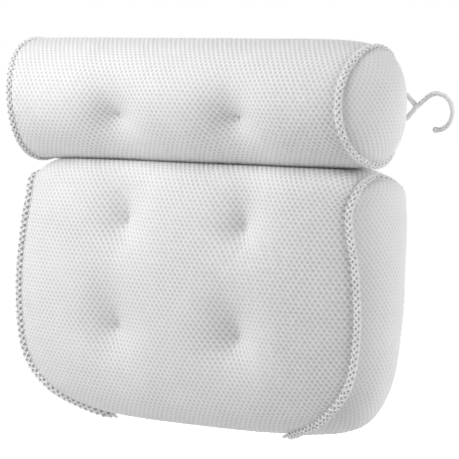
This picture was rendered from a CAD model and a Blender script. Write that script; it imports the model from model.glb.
"""Bath pillow of white spacer mesh: a tufted back cushion, a neck roll hinged to it, suction cups and a hook.

Lengths are metres in the part's own frame: +X along the roll towards the hook, +Y into the bath's wall
and +Z up.
"""

import sys
import logging
import math
from dataclasses import dataclass, field
from enum import Enum
from typing import Any, Callable, Sequence

import bpy
import numpy as np
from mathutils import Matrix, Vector


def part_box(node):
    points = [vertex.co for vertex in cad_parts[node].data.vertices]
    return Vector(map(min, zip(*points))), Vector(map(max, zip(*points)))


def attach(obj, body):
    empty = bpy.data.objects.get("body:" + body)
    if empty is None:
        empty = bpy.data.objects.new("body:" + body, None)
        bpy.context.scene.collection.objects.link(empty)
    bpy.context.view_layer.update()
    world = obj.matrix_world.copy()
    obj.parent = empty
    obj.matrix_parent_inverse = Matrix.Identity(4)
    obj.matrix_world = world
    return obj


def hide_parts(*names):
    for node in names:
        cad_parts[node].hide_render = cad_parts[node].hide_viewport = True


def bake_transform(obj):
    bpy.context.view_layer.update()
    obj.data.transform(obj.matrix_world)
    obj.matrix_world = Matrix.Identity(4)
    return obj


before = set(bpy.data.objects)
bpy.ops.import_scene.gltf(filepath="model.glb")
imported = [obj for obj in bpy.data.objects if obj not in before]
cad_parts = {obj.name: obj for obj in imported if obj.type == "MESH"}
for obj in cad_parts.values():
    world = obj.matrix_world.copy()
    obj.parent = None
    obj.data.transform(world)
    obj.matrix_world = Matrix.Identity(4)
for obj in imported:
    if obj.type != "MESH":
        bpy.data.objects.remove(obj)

LOG = logging.getLogger("bath_pillow")
MM = 0.001
FULL_TURN = 2.0 * math.pi
SMOOTH_BELOW = math.radians(40)
CUP_X = 105 * MM
CUP_HOLD = 11 * MM
TIE_HOLD = 5 * MM
WADDING_GAP = 0.5 * MM
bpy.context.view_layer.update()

Array = np.ndarray
Material = bpy.types.Material
Piece = bpy.types.Object
Surface = Callable[[Array, Array], Array]
Shell = tuple[Array, Array]
Profile = list[tuple[float, float]]


class Side(Enum):
    """An end of the pillow, as seen from the front."""

    LEFT = -1
    RIGHT = 1

    @property
    def label(self) -> str:
        """The side's name as the nodes spell it."""
        return self.name.lower()


class Level(Enum):
    """The heights at which suction cups sit."""

    ROLL = "roll"
    UPPER = "upper"
    LOWER = "lower"


class Body(Enum):
    """The bodies that the pillow's soft parts and its hook move with."""

    CUSHION = "cushion"
    ROLL = "roll"
    HOOK = "hook"


class Slot(Enum):
    """The record's material slots."""

    MESH = "mesh_fabric"
    THREAD = "overlock_thread"
    WADDING = "wadding"
    WEBBING = "webbing"
    HOOK = "hook_plastic"
    EYELET = "eyelet_plastic"
    VINYL = "cup_vinyl"


# Curves and surfaces


def closed_curve(points: Array, turn: Array) -> Array:
    """Points of a closed centripetal curve through the given points.

    Args:
        points: The curve's points, one row each.
        turn: Places along the curve, where 1 is once round.

    Returns:
        One point for each place.
    """
    count = len(points)
    place = np.mod(turn, 1.0) * count
    first = np.floor(place).astype(int)
    share = (place - first)[..., None]
    p0, p1, p2, p3 = (points[(first + step) % count] for step in (-1, 0, 1, 2))

    def knot(a: Array, b: Array) -> Array:
        """Root of the distance between two rows of points."""
        return np.sqrt(np.linalg.norm(b - a, axis=-1, keepdims=True))

    d0, d1, d2 = knot(p0, p1), knot(p1, p2), knot(p2, p3)
    start = ((p1 - p0) / d0 - (p2 - p0) / (d0 + d1) + (p2 - p1) / d1) * d1
    end = ((p2 - p1) / d1 - (p3 - p1) / (d1 + d2) + (p3 - p2) / d2) * d1
    square = 3 * (p2 - p1) - 2 * start - end
    cube = 2 * (p1 - p2) + start + end
    return p1 + share * (start + share * (square + share * cube))


def ease(share: Array) -> Array:
    """A smooth step from 0 to 1."""
    share = np.clip(share, 0.0, 1.0)
    return share * share * (3 - 2 * share)


def lengths(points: Array) -> Array:
    """Distance along rows of points from the first one, over the last but one axis."""
    steps = np.linalg.norm(np.diff(points, axis=-2), axis=-1)
    start = np.zeros(steps.shape[:-1] + (1,))
    return np.concatenate([start, np.cumsum(steps, axis=-1)], axis=-1)


def unit(vectors: Array) -> Array:
    """The vectors at length 1."""
    return vectors / np.maximum(np.linalg.norm(vectors, axis=-1, keepdims=True), 1e-12)


def cubic_weights(share: Array) -> list[Array]:
    """Weights of the four neighbours of a place between the middle two."""
    square, cube = share * share, share * share * share
    return [
        (-cube + 2 * square - share) / 2,
        (3 * cube - 5 * square + 2) / 2,
        (-3 * cube + 4 * square + share) / 2,
        (cube - square) / 2,
    ]


@dataclass
class Skin:
    """A padded skin: a surface over two parameters, and how far the filling has swelled it.

    The first parameter goes along the rows of the fabric and the second one across them, from -1 to 1.
    """

    surface: Surface
    rows: Array
    columns: Array
    looped: bool
    outward: float
    layout: Surface | None = None
    swell: Array | None = None

    def grid(self) -> Array:
        """The surface's points at the skin's own rows and columns."""
        return self.surface(*np.meshgrid(self.rows, self.columns, indexing="ij"))

    def points(self, along: Array, across: Array) -> Array:
        """Points of the swelled skin."""
        points = self.surface(along, across)
        return points if self.swell is None else points + self._swelling(along, across)

    def _swelling(self, along: Array, across: Array) -> Array:
        """The swelling between the skin's rows and columns, by cubic interpolation."""
        count = len(self.rows)
        if self.looped:
            knots = np.append(self.rows, self.rows[0] + 1.0)
            row = np.interp(np.mod(along, 1.0), knots, np.arange(count + 1))
        else:
            row = np.interp(along, self.rows, np.arange(count))
        column = np.interp(across, self.columns, np.arange(len(self.columns)))
        row_floor = np.floor(row).astype(int)
        column_floor = np.floor(column).astype(int)
        row_weights = cubic_weights(row - row_floor)
        column_weights = cubic_weights(column - column_floor)
        total = np.zeros(along.shape + (3,))
        for i, row_weight in enumerate(row_weights):
            step = row_floor + i - 1
            rows = step % count if self.looped else np.clip(step, 0, count - 1)
            for j, column_weight in enumerate(column_weights):
                columns = np.clip(column_floor + j - 1, 0, len(self.columns) - 1)
                total += (row_weight * column_weight)[..., None] * self.swell[rows, columns]
        return total

    def normals(self, along: Array, across: Array) -> Array:
        """Unit normals of the swelled skin, away from its filling."""
        reach_along, reach_across = 0.002, 0.004
        low, high = np.clip(across - reach_across, -1, 1), np.clip(across + reach_across, -1, 1)
        first, last = along - reach_along, along + reach_along
        if not self.looped:
            first, last = np.maximum(first, self.rows[0]), np.minimum(last, self.rows[-1])
        by_row = self.points(last, across) - self.points(first, across)
        by_column = self.points(along, high) - self.points(along, low)
        return self.outward * unit(np.cross(by_row, by_column))


# Meshes


def quads(ids: Array) -> Array:
    """Faces between neighbouring entries of a grid of vertex numbers."""
    corners = (ids[:-1, :-1], ids[1:, :-1], ids[1:, 1:], ids[:-1, 1:])
    return np.stack([corner.ravel() for corner in corners], axis=1)


def true_faces(faces: Array) -> tuple[Array, Array]:
    """Parts four-cornered faces into true ones and those with an edge that has closed.

    Args:
        faces: Vertex numbers, four to a face.

    Returns:
        The faces with four corners, and those with three.
    """
    start = faces[:, 0] == faces[:, 3]
    end = faces[:, 1] == faces[:, 2]
    low = faces[:, 0] == faces[:, 1]
    high = faces[:, 2] == faces[:, 3]
    closed = start.astype(int) + end + low + high
    once = closed == 1
    pointed = [
        faces[once & start][:, [0, 1, 2]],
        faces[once & end][:, [0, 1, 3]],
        faces[once & low][:, [0, 2, 3]],
        faces[once & high][:, [0, 1, 2]],
    ]
    return faces[closed == 0], np.concatenate(pointed)


def mesh_piece(
    name: str,
    points: Array,
    faces: Array,
    triangles: Array | None = None,
    hollow: Array | None = None,
    flat: Array | None = None,
) -> Piece:
    """A smooth mesh object at the origin, with its faces turned outwards.

    Args:
        name: The object's name.
        points: The vertices' places; those that no face uses are left out.
        faces: Vertex numbers, four to a face; an edge of a face may have closed.
        triangles: Vertex numbers of further faces, three each.
        hollow: For each point, how deep it lies between the yarns, from 0 to 1.
        flat: For each point, its place on the flat cloth.

    Returns:
        The object, in the scene.
    """
    whole, pointed = true_faces(faces)
    if triangles is not None:
        pointed = np.concatenate([pointed, triangles])
    used, corners = np.unique(np.concatenate([whole.ravel(), pointed.ravel()]), return_inverse=True)
    points = points[used]
    whole, pointed = corners[: whole.size].reshape(-1, 4), corners[whole.size:].reshape(-1, 3)
    halves = np.concatenate([pointed, whole[:, [0, 1, 2]], whole[:, [0, 2, 3]]])
    a, b, c = (points[halves[:, k]] for k in range(3))
    if np.einsum("ij,ij->i", a, np.cross(b, c)).sum() < 0:
        whole, pointed = whole[:, ::-1], pointed[:, ::-1]
    sizes = np.concatenate([np.full(len(whole), 4), np.full(len(pointed), 3)])
    loops = np.concatenate([whole.ravel(), pointed.ravel()])
    mesh = bpy.data.meshes.new(name)
    mesh.vertices.add(len(points))
    mesh.vertices.foreach_set("co", points.astype(np.float32).ravel())
    mesh.loops.add(len(loops))
    mesh.loops.foreach_set("vertex_index", loops.astype(np.int32))
    mesh.polygons.add(len(sizes))
    mesh.polygons.foreach_set("loop_start", (np.cumsum(sizes) - sizes).astype(np.int32))
    mesh.polygons.foreach_set("use_smooth", np.ones(len(sizes), dtype=bool))
    mesh.update(calc_edges=True)
    if hollow is not None:
        depth = mesh.attributes.new("hollow", "FLOAT", "POINT")
        depth.data.foreach_set("value", hollow[used].astype(np.float32))
    if flat is not None:
        layer = mesh.uv_layers.new(name="cloth")
        layer.data.foreach_set("uv", flat[used][loops].astype(np.float32).ravel())
    piece = bpy.data.objects.new(name, mesh)
    bpy.context.scene.collection.objects.link(piece)
    return piece


def carried_frame(tangent: Array, closed: bool) -> tuple[Array, Array]:
    """Two directions across a path, carried along it with no twist.

    Args:
        tangent: The path's directions.
        closed: Whether the path is closed; what is left at its end is then spread over it.

    Returns:
        The directions, both square to the path and to each other.
    """
    start = np.array([0.0, 1.0, 0.0]) if abs(tangent[0][1]) < 0.9 else np.array([1.0, 0.0, 0.0])
    side = np.zeros_like(tangent)
    side[0] = unit(start - tangent[0] * np.dot(start, tangent[0]))
    for i in range(1, len(tangent)):
        side[i] = unit(side[i - 1] - tangent[i] * np.dot(side[i - 1], tangent[i]))
    up = np.cross(tangent, side)
    if closed:
        last = unit(side[-1] - tangent[0] * np.dot(side[-1], tangent[0]))
        left = math.atan2(np.dot(np.cross(side[0], last), tangent[0]), np.dot(side[0], last))
        turn = (-left * np.arange(len(tangent)) / len(tangent))[:, None]
        side, up = np.cos(turn) * side + np.sin(turn) * up, np.cos(turn) * up - np.sin(turn) * side
    return side, up


def tube(
    path: Array, radius: float, sides: int, closed: bool, axes: tuple[Array, Array] | None = None
) -> Shell:
    """A tube along a path: a round one, or one with a section of its own.

    Args:
        path: The middle line's points.
        radius: The tube's radius.
        sides: How many sides the tube has.
        closed: Whether the last point joins the first one; else both ends are closed.
        axes: The half axes of an oval section at each point, as shares of the radius.

    Returns:
        The tube's points and four-cornered faces.
    """
    if closed:
        tangent = unit(np.roll(path, -1, axis=0) - np.roll(path, 1, axis=0))
    else:
        tangent = unit(np.gradient(path, axis=0))
    side, up = axes or carried_frame(tangent, closed)
    angle = np.linspace(0, FULL_TURN, sides, endpoint=False)[None, :, None]
    offset = np.cos(angle) * side[:, None, :] + np.sin(angle) * up[:, None, :]
    points = (path[:, None, :] + offset * radius).reshape(-1, 3)
    ids = np.arange(len(points)).reshape(len(path), sides)
    ids = np.concatenate([ids, ids[:, :1]], axis=1)
    if closed:
        return points, quads(np.concatenate([ids, ids[:1]]))
    first, last = np.full((1, sides + 1), len(points)), np.full((1, sides + 1), len(points) + 1)
    return np.concatenate([points, path[:1], path[-1:]]), quads(np.concatenate([first, ids, last]))


def joined(parts: Sequence[Shell]) -> Shell:
    """Several parts' points and faces as one.

    Args:
        parts: Points and faces of each part.

    Returns:
        All points, and the faces with their numbers moved along.
    """
    starts = np.cumsum([0] + [len(points) for points, _ in parts])
    faces = [face + start for (_, face), start in zip(parts, starts)]
    return np.concatenate([points for points, _ in parts]), np.concatenate(faces)


# Finishes


class Nodes:
    """A material's node tree, grown node by node."""

    def __init__(self, name: str) -> None:
        """Starts a material with an output and a principled shader.

        Args:
            name: The material's name.
        """
        self.material = bpy.data.materials.new(name)
        self.material.use_nodes = True
        self.tree = self.material.node_tree
        self.tree.nodes.clear()
        self.shader = self.add("ShaderNodeBsdfPrincipled")
        output = self.add("ShaderNodeOutputMaterial")
        self.link(self.shader.outputs["BSDF"], output.inputs["Surface"])

    def add(self, kind: str, inputs: dict[str | int, Any] | None = None, **settings: Any) -> bpy.types.Node:
        """Adds a node.

        Args:
            kind: The node's type.
            inputs: Values, or other nodes' outputs, for its inputs.
            settings: Values for its own settings.

        Returns:
            The node.
        """
        node = self.tree.nodes.new(kind)
        for key, value in settings.items():
            setattr(node, key, value)
        for key, value in (inputs or {}).items():
            self.put(node.inputs[key], value)
        return node

    def put(self, socket: bpy.types.NodeSocket, value: Any) -> None:
        """Gives an input a value or links an output to it."""
        if isinstance(value, bpy.types.NodeSocket):
            self.link(value, socket)
        else:
            socket.default_value = value

    def finish(self, *inputs: tuple[str, Any]) -> None:
        """Gives the shader several inputs, by name."""
        for key, value in inputs:
            self.put(self.shader.inputs[key], value)

    def link(self, source: bpy.types.NodeSocket, target: bpy.types.NodeSocket) -> None:
        """Joins two nodes."""
        self.tree.links.new(source, target)

    def place(self) -> bpy.types.NodeSocket:
        """The piece's own coordinates."""
        return self.add("ShaderNodeTexCoord").outputs["Object"]

    def noise(self, scale: float, detail: float = 2.0) -> bpy.types.NodeSocket:
        """Noise over the piece's own coordinates.

        Args:
            scale: Features per metre.
            detail: Octaves.

        Returns:
            The noise's value.
        """
        inputs = {"Vector": self.place(), "Scale": scale, "Detail": detail}
        return self.add("ShaderNodeTexNoise", inputs).outputs[0]

    def spread(self, value: bpy.types.NodeSocket, low: float, high: float) -> bpy.types.NodeSocket:
        """A value from 0 to 1 brought to another range."""
        inputs = {"Value": value, "To Min": low, "To Max": high}
        return self.add("ShaderNodeMapRange", inputs).outputs["Result"]

    def mix(self, share: Any, first: Any, second: Any, blend: str = "MIX") -> bpy.types.NodeSocket:
        """A blend of two colours."""
        inputs = {0: share, 6: first, 7: second}
        return self.add("ShaderNodeMix", inputs, data_type="RGBA", blend_type=blend).outputs[2]

    def total(self, first: Any, second: Any) -> bpy.types.NodeSocket:
        """The sum of two values."""
        return self.add("ShaderNodeMath", {0: first, 1: second}, operation="ADD").outputs[0]

    def dress(
        self, color: Any, roughness: Any, height: bpy.types.NodeSocket, strength: float, depth: float
    ) -> None:
        """Gives the shader its colour, its roughness and a bumpy surface.

        Args:
            color: The base colour.
            roughness: The roughness.
            height: The bumps' height, from 0 to 1.
            strength: The bumps' strength.
            depth: The bumps' depth.
        """
        self.finish(("Base Color", color), ("Roughness", roughness))
        bump = self.add("ShaderNodeBump", {"Height": height, "Strength": strength, "Distance": depth})
        self.link(bump.outputs["Normal"], self.shader.inputs["Normal"])


def grey(level: float) -> tuple[float, float, float, float]:
    """A neutral colour of that linear lightness."""
    return (level, level, level, 1.0)


@dataclass(frozen=True)
class KnitFinish:
    """White polyester yarn, darker between the yarns."""

    name: str = "spacer_mesh"
    yarn: float = 0.93
    shade: float = 0.53
    mottle: float = 0.05
    wear: float = 0.45
    rib: float = 0.9 * MM
    rib_height: float = 0.12 * MM
    sheen: float = 0.15
    soak: float = 0.6
    soak_depth: float = 8 * MM
    fuzz_scale: float = 1400.0
    wear_scale: float = 30.0
    mottle_scale: float = 38.0

    def material(self) -> Material:
        """Makes the finish's material."""
        nodes = Nodes(self.name)
        hollow = nodes.add("ShaderNodeAttribute", attribute_name="hollow").outputs["Fac"]
        fuzz = nodes.noise(self.fuzz_scale, 3.0)
        openness = nodes.spread(nodes.noise(self.wear_scale), 1 - self.wear, 1.0)
        depth = nodes.add("ShaderNodeMath", {0: hollow, 1: openness}, operation="MULTIPLY").outputs[0]
        base = nodes.mix(depth, grey(self.yarn), grey(self.shade))
        mottled = nodes.spread(nodes.noise(self.mottle_scale), 1 - self.mottle, 1.0)
        toned = nodes.mix(1.0, base, mottled, "MULTIPLY")
        cloth = nodes.add("ShaderNodeUVMap", uv_map="cloth").outputs["UV"]
        rib = nodes.add("ShaderNodeTexWave", {"Vector": cloth, "Scale": 0.314 / self.rib, "Distortion": 0.4})
        height = nodes.total(rib.outputs[1], fuzz)
        nodes.dress(toned, nodes.spread(fuzz, 0.7, 0.95), height, 0.5, self.rib_height)
        nodes.finish(
            ("Sheen Weight", self.sheen),
            ("Subsurface Weight", self.soak),
            ("Subsurface Radius", (1.0, 1.0, 1.0)),
            ("Subsurface Scale", self.soak_depth),
        )
        return nodes.material


@dataclass(frozen=True)
class ThreadFinish:
    """Twisted white thread over a darker core."""

    name: str = "overlock"
    thread: float = 0.9
    core: float = 0.45
    fibre_scale: float = 1800.0

    def material(self) -> Material:
        """Makes the finish's material."""
        nodes = Nodes(self.name)
        hollow = nodes.add("ShaderNodeAttribute", attribute_name="hollow").outputs["Fac"]
        fibre = nodes.noise(self.fibre_scale, 3.0)
        base = nodes.mix(hollow, grey(self.thread), grey(self.core))
        toned = nodes.mix(1.0, base, nodes.spread(fibre, 0.9, 1.0), "MULTIPLY")
        nodes.dress(toned, nodes.spread(fibre, 0.6, 0.9), fibre, 0.5, 0.2 * MM)
        return nodes.material


@dataclass(frozen=True)
class FluffFinish:
    """Polyester wadding."""

    name: str = "wadding"
    level: float = 0.82
    fluff_scale: float = 160.0

    def material(self) -> Material:
        """Makes the finish's material."""
        nodes = Nodes(self.name)
        fluff = nodes.noise(self.fluff_scale, 6.0)
        base = nodes.mix(fluff, grey(0.8 * self.level), grey(self.level))
        nodes.dress(base, nodes.spread(fluff, 0.85, 1.0), fluff, 0.8, 2 * MM)
        return nodes.material


@dataclass(frozen=True)
class WebbingFinish:
    """Woven white tape in a plain weave."""

    name: str = "webbing"
    level: float = 0.80
    yarn: float = 0.9 * MM
    fibre_scale: float = 1500.0

    def material(self) -> Material:
        """Makes the finish's material."""
        nodes = Nodes(self.name)
        checks = {"Vector": nodes.place(), "Scale": 1 / self.yarn}
        weave = nodes.add("ShaderNodeTexChecker", checks).outputs["Fac"]
        fibre = nodes.noise(self.fibre_scale, 3.0)
        base = nodes.mix(weave, grey(self.level), grey(0.86 * self.level))
        toned = nodes.mix(1.0, base, nodes.spread(fibre, 0.9, 1.0), "MULTIPLY")
        nodes.dress(toned, nodes.spread(fibre, 0.7, 0.95), nodes.total(weave, fibre), 0.6, 0.25 * MM)
        return nodes.material


@dataclass(frozen=True)
class MouldedFinish:
    """Smooth moulded plastic."""

    name: str
    level: float = 0.8
    roughness: float = 0.32
    grain_scale: float = 900.0
    cloud_scale: float = 60.0
    ior: float = 1.49

    def material(self) -> Material:
        """Makes the finish's material."""
        nodes = Nodes(self.name)
        grain = nodes.noise(self.grain_scale)
        base = nodes.mix(nodes.noise(self.cloud_scale, 3.0), grey(0.96 * self.level), grey(self.level))
        rough = nodes.spread(grain, self.roughness - 0.05, self.roughness + 0.08)
        nodes.dress(base, rough, grain, 0.15, 0.05 * MM)
        nodes.finish(("IOR", self.ior))
        return nodes.material


@dataclass(frozen=True)
class VinylFinish:
    """Clear soft vinyl with a faint haze."""

    name: str = "clear_vinyl"
    transmission: float = 0.88
    haze_scale: float = 90.0
    ior: float = 1.52

    def material(self) -> Material:
        """Makes the finish's material."""
        nodes = Nodes(self.name)
        haze = nodes.noise(self.haze_scale, 3.0)
        tint = nodes.mix(haze, (0.90, 0.95, 0.97, 1.0), (0.97, 0.99, 1.0, 1.0))
        nodes.dress(tint, nodes.spread(haze, 0.06, 0.16), haze, 0.1, 0.1 * MM)
        nodes.finish(("Transmission Weight", self.transmission), ("IOR", self.ior))
        return nodes.material


@dataclass
class Finishes:
    """The pillow's materials."""

    knit: Material = field(default_factory=lambda: KnitFinish().material())
    thread: Material = field(default_factory=lambda: ThreadFinish().material())
    fluff: Material = field(default_factory=lambda: FluffFinish().material())
    webbing: Material = field(default_factory=lambda: WebbingFinish().material())
    hook: Material = field(default_factory=lambda: MouldedFinish("hook_plastic", 0.93).material())
    eyelet: Material = field(default_factory=lambda: MouldedFinish("eyelet_plastic", 0.78, 0.4).material())
    vinyl: Material = field(default_factory=lambda: VinylFinish().material())


def dress(piece: Piece, material: Material, slot: Slot, body: str, *nodes: str) -> Piece:
    """Gives a piece its finish, the body it moves with and the solids it stands for.

    Args:
        piece: The piece.
        material: Its finish.
        slot: The record's slot for that finish.
        body: The body's name, or none for a piece that bends between two.
        nodes: The solids' names.

    Returns:
        The piece.
    """
    piece.data.materials.clear()
    piece.data.materials.append(material)
    if nodes:
        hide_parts(*nodes)
    if body:
        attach(piece, body)
    LOG.info("%s: %d faces, %s", piece.name, len(piece.data.polygons), material.name)
    return piece


# Cloth and thread


@dataclass(frozen=True)
class SpacerMesh:
    """The cover's cloth: a thick knitted mesh with staggered holes."""

    pitch: float = 4.9 * MM
    row: float = 3.45 * MM
    steps_across: int = 4
    steps_up: int = 3
    hole_half_width: float = 2.5 * MM
    hole_half_height: float = 2.1 * MM
    hole_slope: float = 1.5
    hole_depth: float = 1.2 * MM
    hole_tone: float = 1.0
    wall: float = 4.0 * MM
    lining_rows: int = 6
    lining_columns: int = 60
    seam_inset: float = 2.2 * MM
    track_points: int = 801
    width_points: int = 161

    def holes(self, rows: Array, columns: Array) -> Array:
        """Depth of the holes on a grid of whole steps.

        Args:
            rows: Step numbers up the cloth.
            columns: Step numbers across it.

        Returns:
            Share of a hole's depth, from 0 on the yarn to 1 in the middle of a hole.
        """
        up, across = np.meshgrid(rows, columns, indexing="ij")
        nearest = np.full(up.shape, np.inf)
        for line in (up // self.steps_up, up // self.steps_up + 1):
            rise = (up - line * self.steps_up) * self.row / self.steps_up
            aside = across * self.pitch / self.steps_across - (line % 2) * self.pitch / 2
            aside = np.mod(aside + self.pitch / 2, self.pitch) - self.pitch / 2
            reach = np.hypot(aside / self.hole_half_width, rise / self.hole_half_height)
            nearest = np.minimum(nearest, reach)
        return ease(self.hole_slope * (1.0 - nearest))

    def panel(self, name: str, skin: Skin, ends: tuple[float, float] = (0.0, 1.0)) -> Piece:
        """Cuts a panel of the cloth to a skin, with its holes and its lining.

        Args:
            name: The panel's name.
            skin: The skin that the middle of the cloth's wall follows.
            ends: First and last value of the skin's first parameter.

        Returns:
            The panel, closed along its edges.
        """
        layout = skin.layout or skin.surface
        middle = np.linspace(*ends, self.track_points)
        track = lengths(layout(middle, np.zeros_like(middle)))
        period = 2 * self.steps_up if skin.looped else 1
        count = period * round(track[-1] * self.steps_up / self.row / period)
        distance = np.linspace(0, track[-1], count + 1)
        along = np.interp(distance, track, middle)
        across = np.linspace(-1, 1, self.width_points)
        table = lengths(layout(*np.meshgrid(along, across, indexing="ij")))
        table -= table[:, [len(across) // 2]]
        low = np.minimum(table[:, 0] + self.seam_inset, 0)
        high = np.maximum(table[:, -1] - self.seam_inset, 0)
        shut = high - low < 2 * self.seam_inset
        low[shut] = high[shut] = 0
        reach = math.ceil(max(-low.min(), high.max()) / self.pitch) * self.steps_across
        steps = np.arange(-reach, reach + 1)
        flat = steps * self.pitch / self.steps_across
        u = np.clip(flat[None, :], low[:, None], high[:, None])
        b = np.stack([np.interp(u[j], table[j], across) for j in range(count + 1)])
        a = np.repeat(along[:, None], len(steps), axis=1)
        first = np.maximum(np.searchsorted(flat, low) - 1, 0)
        last = np.minimum(np.searchsorted(flat, high, side="right"), len(steps) - 1)
        first[shut] = last[shut] = reach
        columns = np.clip(np.arange(len(steps))[None, :], first[:, None], last[:, None])
        ids = np.arange(count + 1)[:, None] * len(steps) + columns
        pit = self.holes(np.arange(count + 1), steps)
        pit[u != flat[None, :]] = 0.0
        lift = self.wall / 2 - pit * self.hole_depth
        outer = skin.points(a, b) + skin.normals(a, b) * lift[..., None]

        marks = np.unique(np.append(np.arange(0, count + 1, self.lining_rows), count))
        share = np.linspace(0, 1, self.lining_columns + 1)[None, :]
        inner_u = low[marks, None] + (high - low)[marks, None] * share
        inner_b = np.stack([np.interp(inner_u[i], table[j], across) for i, j in enumerate(marks)])
        inner_a = np.repeat(along[marks][:, None], share.size, axis=1)
        inner = skin.points(inner_a, inner_b) - skin.normals(inner_a, inner_b) * self.wall / 2
        inner_ids = ids.size + np.arange(inner_a.size).reshape(inner_a.shape)
        inner_ids[shut[marks]] = inner_ids[shut[marks]][:, :1]
        if skin.looped:
            ids[-1], inner_ids[-1] = ids[0], inner_ids[0]
        left = rim(ids[:, 0], inner_ids[:, 0], marks)
        right = rim(ids[:, -1], inner_ids[:, -1], marks)[:, ::-1]
        faces = np.concatenate([quads(ids), quads(inner_ids)[:, ::-1]])
        rise = np.repeat(distance[:, None], len(steps), axis=1)
        cloth = np.stack([u, rise], axis=-1).reshape(-1, 2)
        inner_rise = np.repeat(distance[marks][:, None], share.size, axis=1)
        lining = np.stack([inner_u, inner_rise], axis=-1).reshape(-1, 2)
        return mesh_piece(
            name,
            np.concatenate([outer.reshape(-1, 3), inner.reshape(-1, 3)]),
            faces,
            np.concatenate([left, right]),
            np.concatenate([pit.ravel() * self.hole_tone, np.zeros(inner_a.size)]),
            np.concatenate([cloth, lining]),
        )


SIDE_MESH = SpacerMesh(
    pitch=4.2 * MM, row=3 * MM, hole_half_width=2 * MM, hole_depth=0.6 * MM, hole_tone=0.65
)


def rim(outer: Array, inner: Array, marks: Array) -> Array:
    """Triangles between the edge of a panel and the coarser edge of its lining.

    Args:
        outer: Vertex numbers along the panel's edge.
        inner: Vertex numbers along the lining's edge.
        marks: Places of the lining's vertices among the panel's.

    Returns:
        Vertex numbers, three to a face.
    """
    faces = []
    for i, (start, stop) in enumerate(zip(marks[:-1], marks[1:])):
        middle = (start + stop) // 2
        faces += [(outer[j + 1], outer[j], inner[i]) for j in range(start, middle)]
        faces.append((outer[middle], inner[i], inner[i + 1]))
        faces += [(outer[j + 1], outer[j], inner[i + 1]) for j in range(middle, stop)]
    return np.array([face for face in faces if len(set(face)) == 3], dtype=int)


@dataclass(frozen=True)
class Filling:
    """How hard the wadding presses while a sewn cover is filled."""

    frames: int = 20
    pressure: float = 2.5
    limit: float = 4 * MM
    stiffness: float = 15.0
    bending: float = 6.0
    mass: float = 0.3

    def swell(self, name: str, points: Array, faces: Array, held: Array) -> Array:
        """Fills a cover by a cloth simulation.

        Args:
            name: A name for the sewn cover.
            points: The cover's points.
            faces: Its faces, four-cornered.
            held: Numbers of the points that seams and ties hold.

        Returns:
            How far each point has moved.
        """
        cover = mesh_piece(name, points, faces)
        pins = cover.vertex_groups.new(name="held")
        pins.add([int(number) for number in held], 1.0, "REPLACE")
        cloth = cover.modifiers.new("filling", "CLOTH")
        settings = cloth.settings
        settings.quality = 6
        settings.mass = self.mass
        settings.tension_stiffness = settings.compression_stiffness = self.stiffness
        settings.shear_stiffness = self.stiffness / 3
        settings.bending_stiffness = self.bending
        settings.use_pressure = True
        settings.uniform_pressure_force = self.pressure
        settings.vertex_group_mass = pins.name
        settings.effector_weights.gravity = 0.0
        cloth.point_cache.frame_start = 1
        cloth.point_cache.frame_end = self.frames
        scene = bpy.context.scene
        for number in range(1, self.frames + 1):
            scene.frame_set(number)
        filled = cover.evaluated_get(bpy.context.evaluated_depsgraph_get())
        places = np.zeros(points.size, dtype=np.float32)
        filled.data.vertices.foreach_get("co", places)
        moved = places.reshape(-1, 3).astype(float) - points
        scene.frame_set(1)
        mesh = cover.data
        bpy.data.objects.remove(cover)
        bpy.data.meshes.remove(mesh)
        size = np.linalg.norm(moved, axis=1, keepdims=True)
        LOG.info("%s: swelled %.1f mm on average, %.1f mm at most", name, size.mean() / MM, size.max() / MM)
        return moved * self.limit * np.tanh(size / self.limit) / np.maximum(size, 1e-9)


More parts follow.
